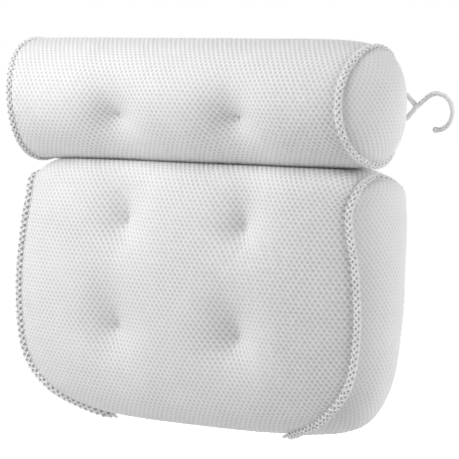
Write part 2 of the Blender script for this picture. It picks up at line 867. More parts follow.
@dataclass(frozen=True)
class Overlock:
    """A seam's edge, oversewn: a flat bound core under a lattice of crossing threads."""

    reach: float = 4.0 * MM
    radius: float = 2.4 * MM
    core: float = 0.9
    thread: float = 0.8 * MM
    weave: float = 0.35 * MM
    pitch: float = 21.6 * MM
    strands: int = 4
    steps: int = 32
    sides: int = 5
    proud: float = 2.8 * MM
    tail: float = 9 * MM
    tail_radius: float = 1.2 * MM
    tail_pitch: float = 8 * MM
    tail_threads: int = 3
    tail_points: int = 28
    tail_taper: float = 0.8
    core_steps: int = 8
    core_sides: int = 16

    def sew(self, name: str, path: Array, out: Array, heading: Array | None = None) -> Piece:
        """Sews a seam along a closed path.

        Args:
            name: The seam's name.
            path: The seam's points, close together.
            out: The direction in which the seam's edge stands out at each point.
            heading: The direction of the thread's tail at the first point, if it has one.

        Returns:
            The seam.
        """
        whole = np.concatenate([path, path[:1]])
        headings = np.concatenate([out, out[:1]])
        track = lengths(whole)
        turns = round(track[-1] / self.pitch)
        count = turns * self.steps
        place = np.linspace(0, track[-1], count, endpoint=False)
        line, up = (
            np.stack([np.interp(place, track, row) for row in rows.T], axis=1) for rows in (whole, headings)
        )
        tangent = unit(np.roll(line, -1, axis=0) - np.roll(line, 1, axis=0))
        side = unit(np.cross(tangent, up))
        up = np.cross(side, tangent)
        phase = FULL_TURN * turns * np.arange(count) / count
        skip = self.steps // self.core_steps
        axes = (self.reach * up[::skip], self.radius * side[::skip])
        parts = [tube(line[::skip], self.core, self.core_sides, True, axes)]
        core_points = len(parts[0][0])
        for hand in (-1, 1):
            lift = (hand * self.weave * np.cos(self.strands * phase))[:, None]
            for strand in range(self.strands):
                angle = (hand * phase + strand * FULL_TURN / self.strands)[:, None]
                rise = (self.reach + lift) * np.cos(angle)
                aside = (self.radius + lift) * np.sin(angle)
                thread = line + rise * up + aside * side
                parts.append(tube(thread, self.thread, self.sides, True))
        if heading is not None:
            parts += self._tail(path[0], unit(heading))
        points, faces = joined(parts)
        hollow = np.zeros(len(points))
        hollow[:core_points] = 1.0
        return mesh_piece(name, points, faces, hollow=hollow)

    def _tail(self, start: Array, heading: Array) -> list[Shell]:
        """The twisted threads that are left where the sewing ends.

        Args:
            start: Where the tail leaves the seam.
            heading: Its direction.

        Returns:
            Points and faces of each thread.
        """
        place = np.linspace(0, self.tail, self.tail_points)
        line = start + place[:, None] * heading
        side, up = carried_frame(np.repeat(heading[None, :], len(place), axis=0), False)
        reach = (self.tail_radius * np.sqrt(1 - self.tail_taper * (place / self.tail) ** 2))[:, None]
        parts = []
        for strand in range(self.tail_threads):
            angle = (FULL_TURN * (place / self.tail_pitch + strand / self.tail_threads))[:, None]
            thread = line + reach * (np.cos(angle) * side + np.sin(angle) * up)
            parts.append(tube(thread, self.thread, self.sides + 1, False))
        return parts


@dataclass(frozen=True)
class Stitching:
    """A row of straight stitches."""

    length: float = 2.6 * MM
    gap: float = 1.0 * MM
    thread: float = 0.35 * MM
    rise: float = 0.25 * MM
    sides: int = 5

    def row(self, start: Array, end: Array, up: Array) -> list[Shell]:
        """Stitches from one point to another.

        Args:
            start: Where the row starts, on the cloth.
            end: Where it ends.
            up: The direction out of the cloth.

        Returns:
            Points and faces of each stitch.
        """
        count = max(1, round(np.linalg.norm(end - start) / (self.length + self.gap)))
        bow = np.linspace(0, 1, 5)
        lift = np.sin(bow * math.pi)[:, None] * self.rise * up
        step = (end - start) / count
        share = self.length / (self.length + self.gap)
        stitches = (start + step * (i + bow[:, None] * share) + lift for i in range(count))
        return [tube(stitch, self.thread, self.sides, False) for stitch in stitches]


def sewn_thread(name: str, parts: Sequence[Shell], finishes: Finishes, body: Body, *nodes: str) -> Piece:
    """Threads, joined into one piece and dressed.

    Args:
        name: The piece's name.
        parts: Points and faces of each thread.
        finishes: The pillow's materials.
        body: The body it moves with.
        nodes: The solids that it stands for.

    Returns:
        The piece.
    """
    points, faces = joined(parts)
    piece = mesh_piece(name, points, faces, hollow=np.zeros(len(points)))
    return dress(piece, finishes.thread, Slot.THREAD, body.value, *nodes)


@dataclass(frozen=True)
class TuftTie:
    """The thread that ties a tuft, wound into a knot at both ends."""

    thread: float = 0.4 * MM
    shaft: float = 0.8 * MM
    knot: float = 0.9 * MM
    half_length: float = 1.3 * MM
    turns: int = 4
    steps: int = 12
    knot_taper: float = 0.6
    knot_lift: float = 0.2
    shaft_points: int = 8
    shaft_sides: int = 8
    thread_sides: int = 6

    def tie(self, name: str, front: Array, back: Array, finishes: Finishes, body: Body, node: str) -> Piece:
        """Ties the cover together between two points.

        Args:
            name: The tie's name.
            front: Outer face of the cover at the front dimple.
            back: Outer face of the cover at the back one.
            finishes: The pillow's materials.
            body: The body it moves with.
            node: The solid that it stands for.

        Returns:
            The tie.
        """
        along = unit(back - front)
        line = front + (back - front) * np.linspace(0, 1, self.shaft_points)[:, None]
        parts = [tube(line, self.shaft, self.shaft_sides, False)]
        count = self.turns * self.steps
        angle = FULL_TURN * np.arange(count) / self.steps
        aside = np.array([1.0, 0.0, 0.0])
        across = np.cross(along, aside)
        slide = (np.linspace(-1, 1, count) * self.half_length)[:, None]
        girth = (self.knot * np.sqrt(1 - self.knot_taper * np.linspace(-1, 1, count) ** 2))[:, None]
        coil = slide * aside + girth * (np.cos(angle)[:, None] * across + np.sin(angle)[:, None] * along)
        for place, out in ((front, -along), (back, along)):
            knot = place + out * self.knot_lift * self.knot + coil
            parts.append(tube(knot, self.thread, self.thread_sides, False))
        return sewn_thread(name, parts, finishes, body, node)


def wadding(
    name: str, points: Array, faces: Array, wall: float, finishes: Finishes, body: Body, node: str
) -> Piece:
    """The wadding inside a filled cover.

    Args:
        name: The wadding's name.
        points: Points of the cover's wall.
        faces: The cover's faces.
        wall: The wall's thickness.
        finishes: The pillow's materials.
        body: The body it moves with.
        node: The solid that it stands for.

    Returns:
        The wadding.
    """
    piece = mesh_piece(name, points, faces)
    normals = np.zeros(points.size, dtype=np.float32)
    piece.data.vertices.foreach_get("normal", normals)
    inside = points - normals.reshape(-1, 3) * (wall / 2 + WADDING_GAP)
    piece.data.vertices.foreach_set("co", inside.astype(np.float32).ravel())
    piece.data.update()
    return dress(piece, finishes.fluff, Slot.WADDING, body.value, node)


# Cushion


@dataclass(frozen=True)
class Station:
    """A station round the cushion: its side seam and its middle, with heights above the underside."""

    half_width: float
    height: float
    front: float
    back: float
    mid_height: float
    mid_front: float
    mid_back: float


@dataclass(frozen=True)
class Tuft:
    """A place where a tie pulls a cover in."""

    name: str
    x: float
    z: float
    depth: float


@dataclass(frozen=True)
class Pull:
    """How a tie's pull fades round it: a sharp pit in a broad dimple, drawn out upwards into a crease."""

    pit: float = 11 * MM
    dimple: float = 26 * MM
    sharp: float = 0.5
    crease: float = 1.6

    def share(self, aside: Array, rise: Array) -> Array:
        """Share of the tie's pull at a distance beside it and above it."""
        away = np.hypot(aside, np.where(rise > 0, rise / self.crease, rise))
        return self.sharp * np.exp(-away / self.pit) + (1 - self.sharp) * np.exp(-((away / self.dimple) ** 2))


@dataclass
class RollForm:
    """The filled roll's form: a crowned cylinder with bulged ends."""

    axis_y: float = -66 * MM
    axis_z: float = 161.2 * MM
    lean: float = 0.006
    half_length: float = 175 * MM
    right_radius: float = 45.3 * MM
    left_radius: float = 50.5 * MM
    mid_radius: float = 51.5 * MM
    edge_power: float = 8.5
    edge_round: float = 0.7
    end_bulge: float = 23 * MM
    end_power: float = 0.6
    right_waist: float = 4 * MM
    right_tuck: float = 5 * MM
    top_flush: float = 0.8
    left_lean: float = 4.8 * MM
    left_long: float = 2 * MM
    left_waist: float = 8.6 * MM
    tufts: tuple[Tuft, ...] = (Tuft("left", -61 * MM, 0.0, 18 * MM), Tuft("right", 65 * MM, 0.0, 18 * MM))
    tuft_angle: float = math.pi + math.radians(18)
    pull: Pull = Pull(dimple=29 * MM, sharp=0.4, crease=1.2)
    tuft_back: float = 5 * MM

    def end_radius(self, side: Side) -> float:
        """The radius of an end's seam."""
        return self.right_radius if side is Side.RIGHT else self.left_radius

    def radius(self, across: Array) -> Array:
        """The roll's radius before it is tufted: even along it, and rounded in at its ends."""
        end = np.where(across > 0, self.right_radius, self.left_radius)
        full = np.maximum(0.0, 1 - np.abs(across) ** self.edge_power) ** self.edge_round
        return end + (self.mid_radius - end) * full

    def around(self, x: Array, radius: Array, angle: Array) -> Array:
        """Points at a radius and an angle round the roll's axis."""
        parts = (x, self.axis_y + radius * np.cos(angle), self.height(x) + radius * np.sin(angle))
        return np.stack(np.broadcast_arrays(*parts), axis=-1)

    def height(self, x: Array) -> Array:
        """The height of the roll's axis, which leans a little to the left."""
        return self.axis_z + self.lean * x

    def along(self, angle: Array, across: Array) -> Array:
        """Places along the roll."""
        return across * np.where(across > 0, self.edge(Side.RIGHT, angle), self.edge(Side.LEFT, angle))

    def smooth(self, turn: Array, across: Array) -> Array:
        """Points of the roll's cover before it is tufted."""
        angle = turn * FULL_TURN
        return self.around(self.along(angle, across), self.radius(across), angle)

    def cover(self, turn: Array, across: Array) -> Array:
        """Points of the roll's cover, pulled in by its ties."""
        angle = turn * FULL_TURN
        x = self.along(angle, across)
        smooth = self.radius(across)
        radius = smooth.copy()
        lean = (angle - self.tuft_angle) / 2
        for tuft in self.tufts:
            front, back = -2 * smooth * np.sin(lean), -2 * smooth * np.abs(np.cos(lean))
            radius = radius - tuft.depth * self.pull.share(x - tuft.x, front)
            radius = radius - self.tuft_back * self.pull.share(x - tuft.x, back)
        return self.around(x, radius, angle)

    def edge(self, side: Side, angle: Array) -> Array:
        """The roll's half length round an end's seam, which the sewing has pulled out of its plane."""
        if side is Side.RIGHT:
            behind = np.maximum(0.0, np.cos(angle)) ** 2
            return self.half_length - self.right_waist * np.cos(angle) ** 2 - self.right_tuck * behind
        waist = self.left_waist * np.cos(angle) ** 2
        return self.half_length + self.left_long - waist + self.left_lean * np.sin(angle)

    def end_points(self, side: Side, share: Array, angle: Array) -> Array:
        """Points of an end panel, at a share of its radius and an angle round the roll's axis."""
        bulge = self.end_bulge * np.maximum(0.0, 1 - share * share) ** self.end_power
        x = side.value * (self.half_length + share * (self.edge(side, angle) - self.half_length) + bulge)
        return self.around(x, self.end_radius(side) * share, angle)

    def end(self, side: Side) -> Surface:
        """The surface of an end panel, over its height and the chord at that height."""

        def surface(rise: Array, across: Array) -> Array:
            """Points of the panel."""
            aside = across * np.sqrt(np.maximum(0.0, 1 - rise * rise))
            return self.end_points(side, np.hypot(rise, aside), np.arctan2(rise, aside))

        return surface

    def end_seam(self, side: Side, proud: float, count: int = 720) -> tuple[Array, Array]:
        """The line of an end's oversewn edge, between the cover and the end panel.

        Args:
            side: The end's side.
            proud: How far the edge stands out in front.
            count: How many points the line has.

        Returns:
            The line's points, and the direction in which the edge stands out at each of them.
        """
        angle = FULL_TURN * np.arange(count) / count
        flush = np.maximum(0.0, np.cos(angle)) ** 2 + self.top_flush * np.maximum(0.0, np.sin(angle)) ** 4
        step = proud * math.sqrt(0.5) * np.maximum(0.0, 1 - flush)
        x = side.value * (self.edge(side, angle) + step)
        points = self.around(x, self.end_radius(side) + step, angle)
        out = np.stack([np.full(count, float(side.value)), np.cos(angle), np.sin(angle)], axis=1)
        return points, unit(out)


@dataclass
class CushionForm:
    """The filled cushion's form: how its seams run, how its panels are crowned and where the roll beds in."""

    roll: RollForm
    stations: tuple[Station, ...] = (
        Station(98 * MM, 5 * MM, -70 * MM, -70 * MM, 2 * MM, -70 * MM, -70 * MM),
        Station(142 * MM, 24 * MM, -90 * MM, -42 * MM, 13 * MM, -95 * MM, -21.7 * MM),
        Station(168 * MM, 50 * MM, -93 * MM, -36 * MM, 42 * MM, -107 * MM, -10.7 * MM),
        Station(177 * MM, 97 * MM, -93 * MM, -33 * MM, 97 * MM, -113 * MM, -12.2 * MM),
        Station(174 * MM, 148 * MM, -92.5 * MM, -24 * MM, 148 * MM, -113 * MM, -13.5 * MM),
        Station(167 * MM, 190 * MM, -91 * MM, -12 * MM, 192 * MM, -107 * MM, -14.8 * MM),
        Station(169 * MM, 207 * MM, -82 * MM, -21 * MM, 219 * MM, -94 * MM, -28.8 * MM),
        Station(168 * MM, 212.5 * MM, -52 * MM, -52 * MM, 226 * MM, -64 * MM, -64 * MM),
    )
    tufts: tuple[Tuft, ...] = (
        Tuft("lower_left", -64 * MM, -32 * MM, 16.5 * MM),
        Tuft("lower_right", 64 * MM, -32 * MM, 16.5 * MM),
        Tuft("upper_left", -55 * MM, 59 * MM, 17.5 * MM),
        Tuft("upper_right", 69 * MM, 59 * MM, 17.5 * MM),
    )
    ground: float = -115 * MM
    back: float = -15 * MM
    cup_x: float = CUP_X
    flat_from: float = 9 / 14
    flat_to: float = 12 / 14
    pull: Pull = Pull()
    tuft_back: float = 5 * MM
    flare: float = 2.5 * MM
    gusset_bulge: float = 12.5 / 63
    side_power: float = 3.0
    side_round: float = 2 / 3
    top_power: tuple[float, float] = (11.0, 22.0)
    top_round: float = 1.0
    corner_bulge: float = 0.8
    corner_at: float = 0.095
    corner_reach: float = 0.055
    top_reach: float = 0.09
    room: float = 4.3 * MM
    give: float = 0.4 * MM
    seam: Array = field(init=False)
    middle: Array = field(init=False)

    def __post_init__(self) -> None:
        """Lays the loops of the side seam and of the cushion's middle: up the front, down the back."""
        up, down = self.stations, self.stations[-2:0:-1]
        ground = self.ground
        self.seam = np.array(
            [(s.half_width, s.front, s.height + ground) for s in up]
            + [(s.half_width + self.flare, s.back, s.height + ground) for s in down]
        )
        self.middle = np.array(
            [(0.0, s.mid_front, s.mid_height + ground) for s in up]
            + [(0.0, s.mid_back, s.mid_height + ground) for s in down]
        )

    def crown(self, turn: Array, across: Array) -> Array:
        """Share of the cover's crown, from 1 in its middle to 0 at its seams, fullest under the roll."""
        top = np.exp(-(((np.mod(turn, 1.0) - 0.5) / self.top_reach) ** 2))
        full = np.where(across > 0, self.top_power[1], self.top_power[0])
        power = self.side_power + (full - self.side_power) * top
        shape = self.side_round + (self.top_round - self.side_round) * top
        return np.maximum(0.0, 1.0 - np.abs(across) ** power) ** shape

    def smooth(self, turn: Array, across: Array) -> Array:
        """Points of the cover before it is tufted."""
        seam = closed_curve(self.seam, turn)
        middle = closed_curve(self.middle, turn)
        cup = np.where(across > 0, self.cup_x, -self.cup_x)
        share = self.crown(turn, cup / np.maximum(seam[..., 0], self.cup_x * 1.02))
        flat = seam[..., 1] + (self.back - seam[..., 1]) / share
        behind = (turn > self.flat_from) & (turn < self.flat_to)
        middle[..., 1] = np.where(behind, flat, middle[..., 1])
        points = seam + (middle - seam) * self.crown(turn, across)[..., None]
        points[..., 0] = across * seam[..., 0]
        return self.bedded(points)

    def bedded(self, points: Array) -> Array:
        """The points, pressed down to where the roll that lies on the cushion leaves them room."""
        roll = self.roll
        x = points[..., 0]
        room = roll.radius(np.clip(x / roll.half_length, -1, 1)) + self.room
        centre = np.stack([x, np.full_like(x, roll.axis_y), roll.height(x)], axis=-1)
        away = np.linalg.norm(points - centre, axis=-1)
        clear = room + self.give * np.logaddexp(0.0, (away - room) / self.give)
        return centre + (points - centre) * (clear / away)[..., None]

    def tufted(self, turn: Array, across: Array) -> Array:
        """Points of the cover, pulled in by its ties."""
        points = self.smooth(turn, across)
        in_front = np.mod(turn, 1.0) < 0.5
        pull = np.zeros_like(turn)
        for tuft in self.tufts:
            depth = np.where(in_front, tuft.depth, -self.tuft_back)
            pull = pull + depth * self.pull.share(points[..., 0] - tuft.x, points[..., 2] - tuft.z)
        points[..., 1] += pull
        return points

    def tuft_place(self, tuft: Tuft, first: float, last: float) -> Array:
        """The cover's point at a tuft.

        Args:
            tuft: The tuft.
            first: Where the search round the cushion starts.
            last: Where it ends.

        Returns:
            The point, in the middle of the cover's wall.
        """
        turn = np.linspace(first, last, 4001)
        points = self.tufted(turn, tuft.x / closed_curve(self.seam, turn)[:, 0])
        return points[np.argmin(np.abs(points[:, 2] - tuft.z))]

    def side_seam(self, side: Side, count: int = 1200) -> Array:
        """Points along a side seam."""
        return closed_curve(self.seam, np.arange(count) / count) * np.array([side.value, 1, 1])

    def gusset(self, side: Side) -> Surface:
        """The surface of a side panel, from the front seam to the back one."""

        def surface(turn: Array, across: Array) -> Array:
            """Points of the panel."""
            front, back = closed_curve(self.seam, turn), closed_curve(self.seam, 1 - turn)
            step = 0.004
            ahead = closed_curve(self.seam, turn + step) + closed_curve(self.seam, 1 - turn - step)
            behind = closed_curve(self.seam, turn - step) + closed_curve(self.seam, 1 - turn + step)
            rise = unit((ahead - behind) * np.array([1, 0, 1]))
            span = np.linalg.norm(back - front, axis=-1)
            corner = 1 + self.corner_bulge * np.exp(-(((turn - self.corner_at) / self.corner_reach) ** 2))
            bulge = self.gusset_bulge * corner * span * (1 - across * across)
            points = front + (back - front) * ((across + 1) / 2)[..., None]
            points[..., 0] += bulge * rise[..., 2]
            points[..., 2] -= bulge * rise[..., 0]
            points[..., 0] *= side.value
            return points

        return surface


@dataclass
class Cushion:
    """The back cushion: a tufted cover, two side panels, their oversewn seams, the ties and the wadding."""

    finishes: Finishes
    form: CushionForm
    cloth: SpacerMesh = SpacerMesh()
    side_cloth: SpacerMesh = SIDE_MESH
    filling: Filling = Filling()
    overlock: Overlock = Overlock()
    tie: TuftTie = TuftTie()
    tail_slant: tuple[float, float] = (-0.15, -0.4)
    sunk_from: tuple[float, float] = (0.405, 0.515)
    sunk_reach: float = 0.05
    sink: float = 5 * MM
    rows: int = 96
    columns: int = 72
    side_columns: int = 12
    hold: float = TIE_HOLD
    cup_hold: float = CUP_HOLD
    cup_heights: tuple[float, ...] = (60 * MM, -60 * MM)
    side_ends: tuple[float, float] = (0.004, 0.496)
    front_search: tuple[float, float] = (0.03, 0.47)
    back_search: tuple[float, float] = (0.53, 0.97)
    welt_smoothing: int = 40
    top_rows: int = 3
    skin: Skin = field(init=False)
    sides: dict[Side, Skin] = field(init=False)

    def build(self) -> Piece:
        """Makes the cushion's pieces.

        Returns:
            The cover.
        """
        body = Body.CUSHION
        self._fill()
        cover = self.cloth.panel("back_cushion_cover", self.skin)
        dress(cover, self.finishes.knit, Slot.MESH, body.value, "cushion_cover")
        for side, skin in self.sides.items():
            label = side.label
            panel = self.side_cloth.panel(f"back_cushion_side_{label}", skin, self.side_ends)
            node = f"cushion_gusset_{label}"
            dress(panel, self.finishes.knit, Slot.MESH, body.value, node)
            heading = np.array([-side.value, *self.tail_slant])
            seam = self.overlock.sew(f"back_cushion_overlock_{label}", *self._welt(side), heading)
            dress(seam, self.finishes.thread, Slot.THREAD, body.value, f"cushion_seam_{label}")
        for tuft in self.form.tufts:
            out = np.array([0, self.cloth.wall / 2, 0])
            front = self.form.tuft_place(tuft, *self.front_search) - out
            back = self.form.tuft_place(tuft, *self.back_search) + out
            node = f"cushion_tuft_tie_{tuft.name}"
            self.tie.tie(f"cushion_tie_{tuft.name}", front, back, self.finishes, body, node)
        return cover

    def _welt(self, side: Side) -> tuple[Array, Array]:
        """The line of a side's oversewn edge, between the cover and the side panel.

        Args:
            side: The side.

        Returns:
            The line's points, and the direction in which the edge stands out at each of them.
        """
        path = self.form.side_seam(side)
        turn = np.arange(len(path)) / len(path)
        in_front = turn < 0.5
        panel = self.sides[side].normals(np.where(in_front, turn, 1 - turn), np.where(in_front, -1.0, 1.0))
        out = self.skin.normals(turn, np.full(len(path), float(side.value))) + panel
        for _ in range(self.welt_smoothing):
            out = (np.roll(out, 1, axis=0) + 2 * out + np.roll(out, -1, axis=0)) / 4
        start = self.sunk_from[side is Side.RIGHT]
        sunk = ease((turn - start) / self.sunk_reach) * ease((1 - turn) / self.sunk_reach)
        return path + unit(out) * (self.overlock.proud - self.sink * sunk)[:, None], unit(out)

    def _fill(self) -> None:
        """Fills the sewn cover, keeps how far it swelled and makes the wadding."""
        spread = np.linspace(-1, 1, self.columns + 1)
        across = 0.5 * spread + 0.5 * np.sin(spread * math.pi / 2)
        turns = np.arange(self.rows) / self.rows
        self.skin = Skin(self.form.tufted, turns, across, True, -1.0, self.form.smooth)
        half = self.rows // 2
        front_turns = np.arange(half + 1) / self.rows
        widths = np.linspace(-1, 1, self.side_columns + 1)
        self.sides = {
            side: Skin(self.form.gusset(side), front_turns, widths, False, -float(side.value))
            for side in Side
        }
        parts = [self.skin.grid().reshape(-1, 3)]
        ids = np.arange(len(parts[0])).reshape(self.rows, -1)
        faces = [quads(np.concatenate([ids, ids[:1]]))]
        grids = {}
        for side, skin in self.sides.items():
            edge = ids[:, 0 if side is Side.LEFT else -1]
            inside = skin.grid()[1:-1, 1:-1]
            start = sum(len(part) for part in parts)
            grid = np.repeat(edge[: half + 1, None], self.side_columns + 1, axis=1)
            grid[:, -1] = edge[-np.arange(half + 1)]
            grid[1:-1, 1:-1] = start + np.arange(inside[..., 0].size).reshape(inside.shape[:2])
            parts.append(inside.reshape(-1, 3))
            faces.append(quads(grid)[:, :: side.value])
            grids[side] = grid
        points, sewn = np.concatenate(parts), np.concatenate(faces)
        moved = self.filling.swell("sewn_cushion", points, sewn, self._held(points, ids))
        self.skin.swell = moved[: ids.size].reshape(ids.shape + (3,))
        for side, grid in grids.items():
            self.sides[side].swell = moved[grid]
        filled, wall = points + moved, self.cloth.wall
        wadding("cushion_wadding", filled, sewn, wall, self.finishes, Body.CUSHION, "cushion_fill")

    def _held(self, points: Array, ids: Array) -> Array:
        """Numbers of the points that seams, ties and cups hold."""
        cover = points[: ids.size]
        half = self.rows // 2
        top = ids[half - self.top_rows: half + self.top_rows + 1]
        held = [ids[:, 0], ids[:, -1], ids[0], top.ravel()]
        for tuft in self.form.tufts:
            away = np.hypot(cover[:, 0] - tuft.x, cover[:, 2] - tuft.z)
            held.append(np.flatnonzero(away < self.hold))
        for height in self.cup_heights:
            for side in Side:
                away = np.hypot(cover[:, 0] - side.value * self.form.cup_x, cover[:, 2] - height)
                held.append(np.flatnonzero((away < self.cup_hold) & (cover[:, 1] > 4 * self.form.back)))
        return np.unique(np.concatenate(held))


# Roll


@dataclass
class Roll:
    """The neck roll: a tufted cover, two end panels, their oversewn seams, the ties and the wadding."""

    finishes: Finishes
    form: RollForm
    cloth: SpacerMesh = SpacerMesh()
    end_cloth: SpacerMesh = SIDE_MESH
    filling: Filling = Filling()
    left_edge: Overlock = Overlock(reach=2.7 * MM, radius=1.8 * MM, thread=0.75 * MM, proud=2.2 * MM)
    right_edge: Overlock = Overlock(reach=3.8 * MM, radius=2.4 * MM, proud=3.2 * MM)
    tie: TuftTie = TuftTie()
    rows: int = 56
    columns: int = 64
    rings: int = 8
    hold: float = TIE_HOLD
    cup_hold: float = CUP_HOLD
    cup_x: float = CUP_X
    rest: float = -0.88
    skin: Skin = field(init=False)
    ends: dict[Side, Skin] = field(init=False)

    def build(self) -> Piece:
        """Makes the roll's pieces.

        Returns:
            The cover.
        """
        body = Body.ROLL
        self._fill()
        cover = self.cloth.panel("neck_roll_cover", self.skin)
        dress(cover, self.finishes.knit, Slot.MESH, body.value, "roll_cover")
        for side, skin in self.ends.items():
            label = side.label
            panel = self.end_cloth.panel(f"neck_roll_end_{label}", skin, (-1.0, 1.0))
            dress(panel, self.finishes.knit, Slot.MESH, body.value, f"roll_end_{label}")
            edge = self.right_edge if side is Side.RIGHT else self.left_edge
            seam = edge.sew(f"neck_roll_overlock_{label}", *self.form.end_seam(side, edge.proud))
            dress(seam, self.finishes.thread, Slot.THREAD, body.value, f"roll_seam_{label}")
        for tuft in self.form.tufts:
            across = np.array([tuft.x / self.form.half_length])
            turn = np.array([self.form.tuft_angle / FULL_TURN])
            front, back = self.form.cover(turn, across)[0], self.form.cover(turn + 0.5, across)[0]
            out = unit(front - back) * self.cloth.wall / 2
            node = f"roll_tuft_tie_{tuft.name}"
            self.tie.tie(f"roll_tie_{tuft.name}", front + out, back - out, self.finishes, body, node)
        return cover

    def _fill(self) -> None:
        """Fills the sewn cover, keeps how far it swelled and makes the wadding."""
        form = self.form
        turns = np.arange(self.rows) / self.rows
        self.skin = Skin(form.cover, turns, np.linspace(-1, 1, self.columns + 1), True, 1.0, form.smooth)
        parts = [self.skin.grid().reshape(-1, 3)]
        ids = np.arange(len(parts[0])).reshape(self.rows, -1)
        faces = [quads(np.concatenate([ids, ids[:1]]))]
        share, angle = np.meshgrid(1 - np.arange(1, self.rings) / self.rings, turns * FULL_TURN)
        grids = {}
        for side in Side:
            edge = ids[:, :1] if side is Side.LEFT else ids[:, -1:]
            start = sum(len(part) for part in parts)
            parts.append(form.end_points(side, share, angle).reshape(-1, 3))
            parts.append(form.end_points(side, np.zeros(1), np.zeros(1)))
            inside = start + np.arange(share.size).reshape(share.shape)
            centre = np.full_like(edge, start + share.size)
            grid = np.concatenate([edge, inside, centre], axis=1)
            faces.append(quads(np.concatenate([grid, grid[:1]]))[:, :: side.value])
            grids[side] = grid
        points, sewn = np.concatenate(parts), np.concatenate(faces)
        moved = self.filling.swell("sewn_roll", points, sewn, self._held(points, ids))
        self.skin.swell = moved[: ids.size].reshape(ids.shape + (3,))
        self.ends = {side: self._end_skin(side, moved[grid]) for side, grid in grids.items()}
        filled, wall = points + moved, self.cloth.wall
        wadding("roll_wadding", filled, sewn, wall, self.finishes, Body.ROLL, "roll_fill")

    def _end_skin(self, side: Side, moved: Array) -> Skin:
        """The skin of an end panel, swelled evenly round its middle.

        Args:
            side: The panel's side.
            moved: How far its points moved, in rings from its seam to its middle.

        Returns:
            The skin.
        """
        bulge = moved[..., 0].mean(axis=0)[::-1]
        places = np.linspace(-1, 1, 41)
        skin = Skin(self.form.end(side), places, places, False, -float(side.value))
        rise, across = np.meshgrid(places, places, indexing="ij")
        away = np.hypot(rise, across * np.sqrt(1 - rise * rise))
        skin.swell = np.zeros(rise.shape + (3,))
        skin.swell[..., 0] = np.interp(away, np.linspace(0, 1, len(bulge)), bulge)
        return skin

    def _held(self, points: Array, ids: Array) -> Array:
        """Numbers of the points that seams, ties and cups hold."""
        form = self.form
        cover = points[: ids.size]
        held = [ids[:, 0], ids[:, -1]]
        angle = np.arctan2(cover[:, 2] - form.height(cover[:, 0]), cover[:, 1] - form.axis_y)
        for tuft in form.tufts:
            for turn in (0.0, math.pi):
                arc = 2 * form.mid_radius * np.sin((angle - form.tuft_angle - turn) / 2)
                held.append(np.flatnonzero(np.hypot(arc, cover[:, 0] - tuft.x) < self.hold))
        for side in Side:
            away = np.hypot(cover[:, 0] - side.value * self.cup_x, cover[:, 2] - form.axis_z)
            held.append(np.flatnonzero((away < self.cup_hold) & (cover[:, 1] > form.axis_y)))
        held.append(np.flatnonzero(np.sin(angle) < self.rest))
        return np.unique(np.concatenate(held))


# Hinge strip, hook and cups


@dataclass
class HingeStrip:
    """The tape that joins the roll to the cushion, sewn to both."""

    finishes: Finishes
    roll: RollForm
    thickness: float = 1.2 * MM
    tuck: float = 1.0 * MM
    wall: float = SpacerMesh.wall
    columns: int = 90
    rows: int = 12
    hem: float = 4.0 * MM
    row: float = 5.2 * MM
    row_marks: int = 16
    stitching: Stitching = Stitching()

    def build(self, rests_on: Sequence[Piece]) -> Piece:
        """Makes the strip between the cushion's top and the roll's back.

        Args:
            rests_on: The covers that it is sewn to.

        Returns:
            The strip.
        """
        corners = np.array([corner.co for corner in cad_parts["hinge_strip"].data.vertices])
        places = np.unique(np.round(corners[:, 0], 5))
        stations = [corners[np.abs(corners[:, 0] - place) < 2e-5, 2] for place in places]
        y = corners[:, 1].mean()
        x = np.linspace(places[0], places[-1], self.columns + 1)
        foot = np.interp(x, places, [station.min() for station in stations]) - self.tuck
        radius = self.roll.radius(x / self.roll.half_length) + self.wall / 2
        head = self.roll.height(x) - np.sqrt(radius**2 - (y - self.roll.axis_y) ** 2) + self.tuck
        share = np.linspace(0, 1, self.rows + 1)[:, None]
        z = foot + (head - foot) * share
        sides = [
            np.stack([np.broadcast_to(x, z.shape), np.full_like(z, y + offset), z], axis=-1)
            for offset in (-self.thickness / 2, self.thickness / 2)
        ]
        count = z.size
        front = np.arange(count).reshape(z.shape)
        bounds = (front[0, :-1], front[:-1, -1], front[-1, :0:-1], front[:0:-1, 0], front[0, :1])
        edge = np.concatenate(bounds)
        hem = quads(np.stack([edge, edge + count]))
        faces = np.concatenate([quads(front), quads(front + count)[:, ::-1], hem])
        strip = mesh_piece("hinge_tape", np.concatenate([side.reshape(-1, 3) for side in sides]), faces)
        dress(strip, self.finishes.webbing, Slot.WEBBING, "", "hinge_strip")
        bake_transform(strip)
        self._sew(Body.CUSHION, x, foot + self.row, y)
        self._sew(Body.ROLL, x, head - self.row, y)
        return strip

    def _sew(self, body: Body, x: Array, z: Array, y: float) -> Piece:
        """Sews an edge of the strip.

        Args:
            body: The body that the edge is sewn to.
            x: Places along the strip.
            z: The stitches' height at each place.
            y: The strip's middle.

        Returns:
            The stitches.
        """
        parts = []
        marks = np.linspace(0, len(x) - 1, self.row_marks).astype(int)
        for out in (-1.0, 1.0):
            depth = y + out * (self.thickness / 2)
            up = np.array([0.0, out, 0.0])
            line = np.stack([x[marks], np.full(len(marks), depth), z[marks]], axis=1)
            for start, end in zip(line[:-1], line[1:]):
                parts += self.stitching.row(start, end, up)
        return sewn_thread(f"hinge_stitches_{body.value}", parts, self.finishes, body)


